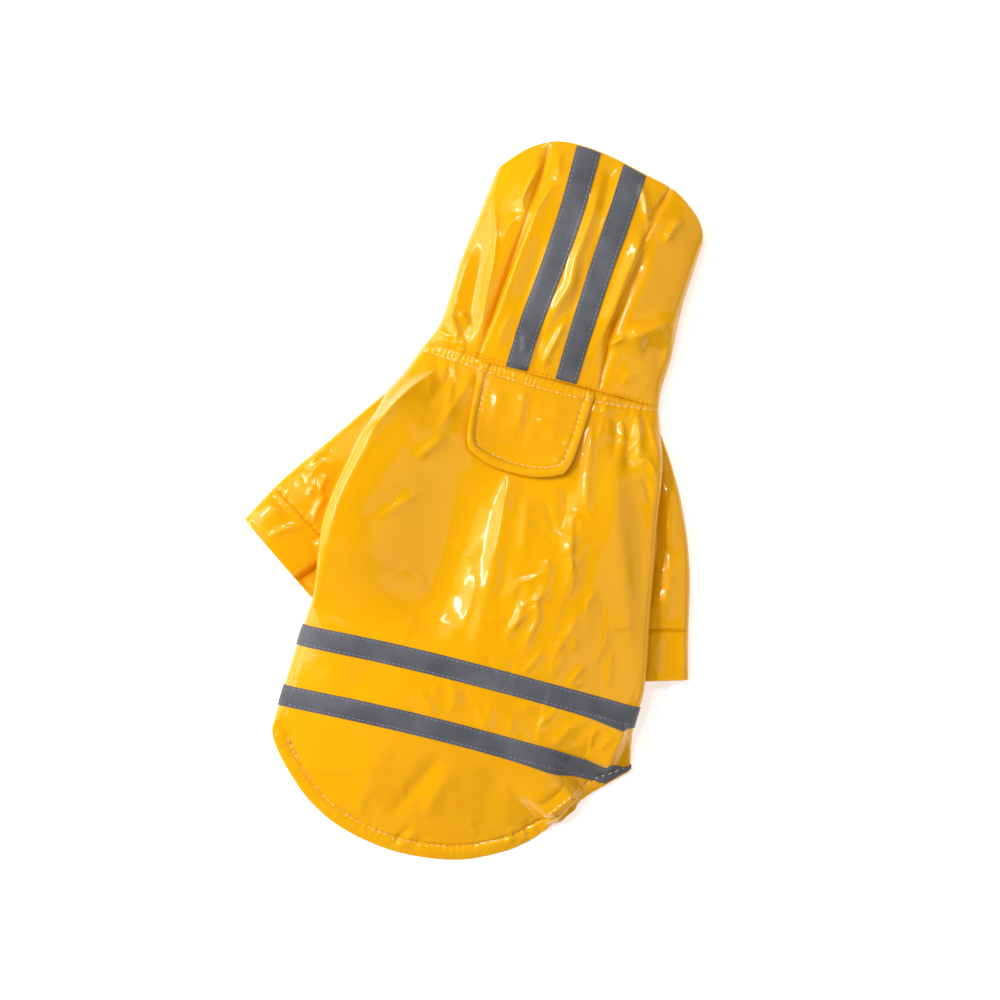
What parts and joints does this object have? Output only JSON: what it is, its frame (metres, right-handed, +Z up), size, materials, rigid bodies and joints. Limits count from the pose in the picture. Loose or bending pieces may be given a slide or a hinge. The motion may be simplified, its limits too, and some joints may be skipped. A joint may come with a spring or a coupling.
{
  "type": "hooded dog raincoat",
  "caption": "Small hooded dog raincoat of glossy coated cloth, laid out flat with its back up: short sleeves, rounded tail, neck flap and reflective tapes on back and hood.",
  "frame": {"origin": "the middle of the floor area that the coat covers, on the surface it lies on", "axes": "+Y along the back towards the hood's brim, +X to the right seen from above, +Z up out of the back"},
  "size_m": [0.236, 0.3662, 0.0277],
  "materials": {
    "coated_cloth": "glossy yellow polyurethane coating on thin cloth",
    "reflective_tape": "matte grey reflective tape",
    "stud": "plain moulded plastic"
  },
  "bodies": {
    "root": {"back_panel": "coated_cloth", "belly_left": "coated_cloth", "belly_right": "coated_cloth", "hood_centre": "coated_cloth", "hood_left": "coated_cloth", "hood_right": "coated_cloth", "sleeve_left": "coated_cloth", "cuff_left": "coated_cloth", "sleeve_right": "coated_cloth", "cuff_right": "coated_cloth", "leash_flap": "coated_cloth", "back_tape_upper": "reflective_tape", "back_tape_lower": "reflective_tape", "hood_tape_left": "reflective_tape", "hood_tape_right": "reflective_tape", "press_stud_1": "stud", "press_stud_2": "stud", "press_stud_3": "stud", "press_stud_4": "stud"}
  },
  "joints": []
}
